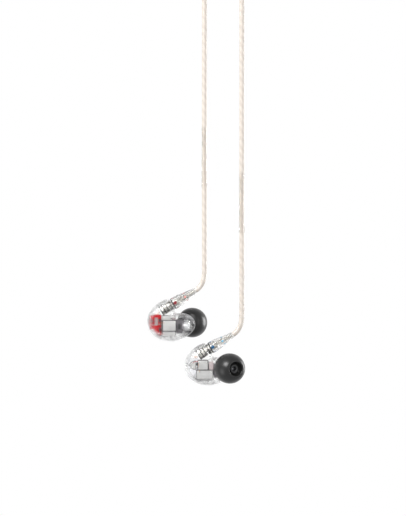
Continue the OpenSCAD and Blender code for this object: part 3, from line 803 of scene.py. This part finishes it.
# ------------------------------------------------------------------ tie round the coil
def tie_strap(steps=9, first=130, sweep=20, puff=0.06):
    # a short arc of a hollow strap, a little fuller between its two ends
    outer = chamfered(5.85, 15.95, -4.8, 4.8, 0.35)
    inner = chamfered(6.42, 15.38, -4.38, 4.38, 0.08)
    middle_r, n = 11, len(outer)
    verts, faces = [], []
    for k in range(steps):
        a = math.radians(first + sweep * k / (steps - 1))
        fuller = 0.0 if k in (0, steps - 1) else puff
        for loop, grow in ((outer, fuller), (inner, 0.0)):
            for r, y in loop:
                rr = r + (grow if r > middle_r else -grow)
                verts.append((rr * math.cos(a), y, COIL_Z + rr * math.sin(a)))
    for k in range(steps - 1):
        for base, flip in ((k * 2 * n, False), (k * 2 * n + n, True)):
            for i in range(n):
                j = (i + 1) % n
                q = (base + i, base + j, base + 2 * n + j, base + 2 * n + i)
                faces.append(tuple(reversed(q)) if flip else q)
    for base, flip in ((0, True), ((steps - 1) * 2 * n, False)):
        for i in range(n):
            j = (i + 1) % n
            q = (base + i, base + j, base + n + j, base + n + i)
            faces.append(q if flip else tuple(reversed(q)))
    return verts, faces


tie = add_mesh("tie_strap", *tie_strap(), "tie", True, None, 40)
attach(tie, "cable")
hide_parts("coil_tie")

# ------------------------------------------------------------------ finish of the CAD pieces
BEVEL = {
    "woofer_upper": 0.16, "woofer_lower": 0.16, "mid_driver": 0.16, "tweeter_driver": 0.14,
    "driver_cradle": 0.1, "tube_block": 0.15, "crossover_board": 0.06, "board_parts": 0.05,
    "cinch_slider": 0.5, "y_split": 0.4, "plug_body": 0.4, "plug_contacts": 0.08, "socket_shell": 0.08,
    "connector_plug": 0.06, "wire_collar": 0.05, "dot_dark": 0.08, "dot_light": 0.06,
    "throat_barrel": 0.15, "snap_ring": 0.05}
for name, o in NODES.items():
    mat = M[SLOT_OF[name]]
    me = o.data
    if len(me.materials) == 0:
        me.materials.append(mat)
    for held in o.material_slots:
        held.material = mat
    me.polygons.foreach_set("use_smooth", [True] * len(me.polygons))
    w = o.modifiers.new("weld", "WELD")
    w.merge_threshold = 1e-6
    base = name[:-2] if name.endswith(("_r", "_l")) else name
    if base in BEVEL:
        b = o.modifiers.new("edge", "BEVEL")
        b.width = BEVEL[base] * MM
        b.segments = 3
        b.limit_method = "ANGLE"
        b.angle_limit = math.radians(40)
        b.harden_normals = True
    me.set_sharp_from_angle(angle=math.radians(38))

# ------------------------------------------------------------------ light and backdrop
world = bpy.data.worlds.new("studio")
bpy.context.scene.world = world
world.use_nodes = True
bg = world.node_tree.nodes["Background"]
bg.inputs["Color"].default_value = (0.93, 0.94, 0.96, 1)
bg.inputs["Strength"].default_value = 0.8
bpy.context.scene.view_settings.view_transform = "Standard"

# a white wall well behind the object; it gives light of its own and takes none
WALL_X, WALL_Y, WALL_LOW, WALL_HIGH = 3.0, 1.7, -2.2, 2.0
wall_mat, nt, p = new_mat("backdrop")
p.inputs["Base Color"].default_value = (0, 0, 0, 1)
p.inputs["Roughness"].default_value = 1.0
p.inputs["Specular IOR Level"].default_value = 0.0
p.inputs["Emission Color"].default_value = (1, 1, 1, 1)
p.inputs["Emission Strength"].default_value = 1.0
wall = bpy.data.meshes.new("backdrop")
wall.from_pydata([(-WALL_X, WALL_Y, WALL_LOW), (WALL_X, WALL_Y, WALL_LOW), (WALL_X, WALL_Y, WALL_HIGH),
                  (-WALL_X, WALL_Y, WALL_HIGH)], [], [(0, 1, 2, 3)])
wall.materials.append(wall_mat)
wall_o = bpy.data.objects.new("backdrop", wall)
bpy.context.scene.collection.objects.link(wall_o)


def lamp(name, loc, target, size, power, tint=(1, 1, 1)):
    d = bpy.data.lights.new(name, "AREA")
    d.shape = "RECTANGLE"
    d.size, d.size_y = size
    d.energy = power
    d.color = tint
    o = bpy.data.objects.new(name, d)
    bpy.context.scene.collection.objects.link(o)
    o.location = loc
    o.rotation_euler = (Vector(target) - Vector(loc)).to_track_quat("-Z", "Y").to_euler()


aim = (-0.02, 0, -0.19)
lamp("key", (-0.60, -0.66, 0.42), aim, (0.62, 0.40), 13.0)
lamp("fill", (0.75, -0.85, -0.05), aim, (0.50, 0.70), 1.8)
lamp("side", (-0.60, -0.22, -0.42), aim, (0.14, 0.40), 0.7)
lamp("rim", (0.42, 0.20, -0.15), aim, (0.20, 0.30), 1.8)
